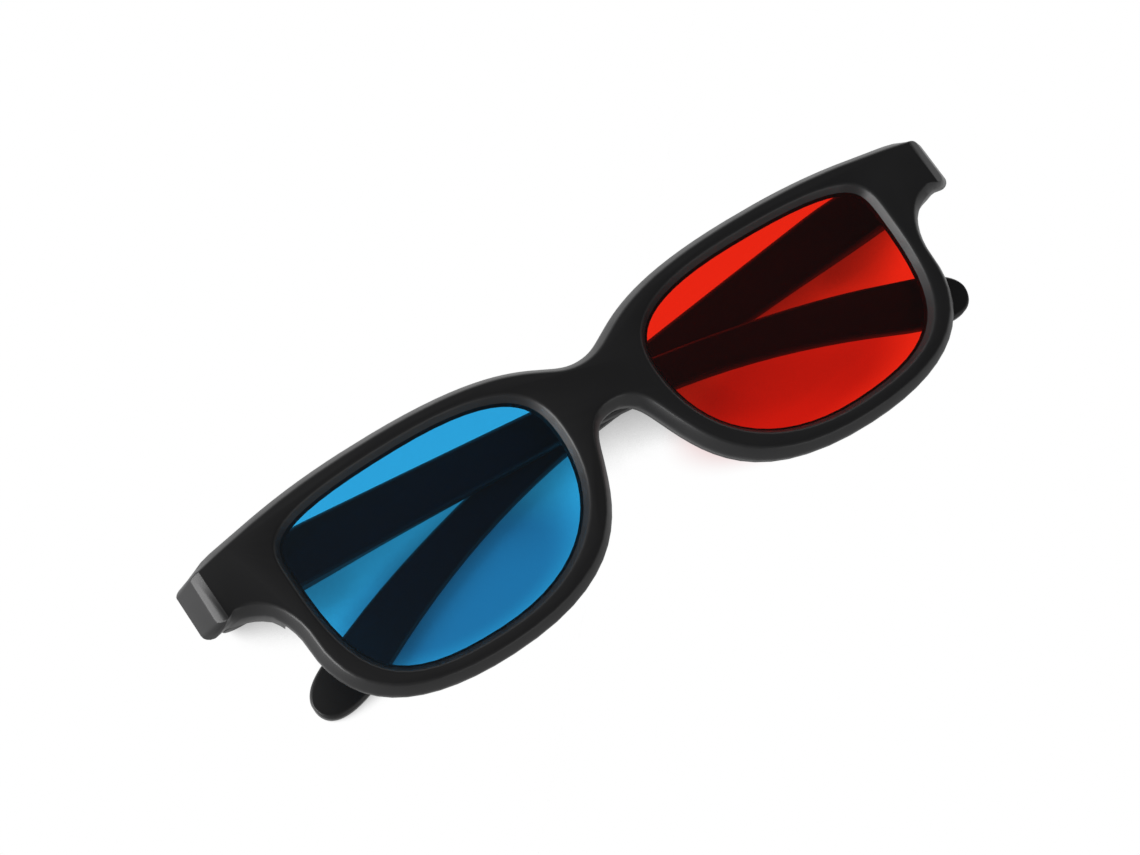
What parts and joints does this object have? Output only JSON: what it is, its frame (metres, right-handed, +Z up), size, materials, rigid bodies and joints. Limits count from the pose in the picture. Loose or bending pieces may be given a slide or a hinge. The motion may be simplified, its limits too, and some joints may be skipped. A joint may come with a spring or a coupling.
{
  "type": "3d glasses",
  "caption": "Folding red and blue anaglyph 3D glasses: black moulded front with bevelled rims, tinted lenses clamped by a rear frame, and hinged temples folded behind it.",
  "frame": {"origin": "centre of the part's footprint on the surface that it lies on, under the bridge", "axes": "+X towards the wearer's left temple (red lens side), +Y towards the brow, +Z up, out of the front face"},
  "size_m": [0.148, 0.0415, 0.0144],
  "materials": {
    "black_moulding": "satin black moulded ABS",
    "black_temple": "satin black moulded ABS",
    "red_filter": "clear red tinted sheet",
    "blue_filter": "clear blue tinted sheet",
    "pin_steel": "drawn steel wire"
  },
  "bodies": {
    "frame": {"front_frame": "black_moulding", "rear_frame": "black_moulding", "red_lens": "red_filter", "blue_lens": "blue_filter", "left_hinge_pin": "pin_steel", "right_hinge_pin": "pin_steel"},
    "left_temple": {"left_temple": "black_temple"},
    "right_temple": {"right_temple": "black_temple"}
  },
  "joints": [
    {"name": "left_temple_hinge", "type": "hinge", "parent": "frame", "child": "left_temple", "pos_m": [0.0676, 0.0115, 0.0056], "axis": [0, -1, 0], "range_deg": [0, 90]},
    {"name": "right_temple_hinge", "type": "hinge", "parent": "frame", "child": "right_temple", "pos_m": [-0.0676, 0.0115, 0.0056], "axis": [0, 1, 0], "range_deg": [0, 93]}
  ]
}
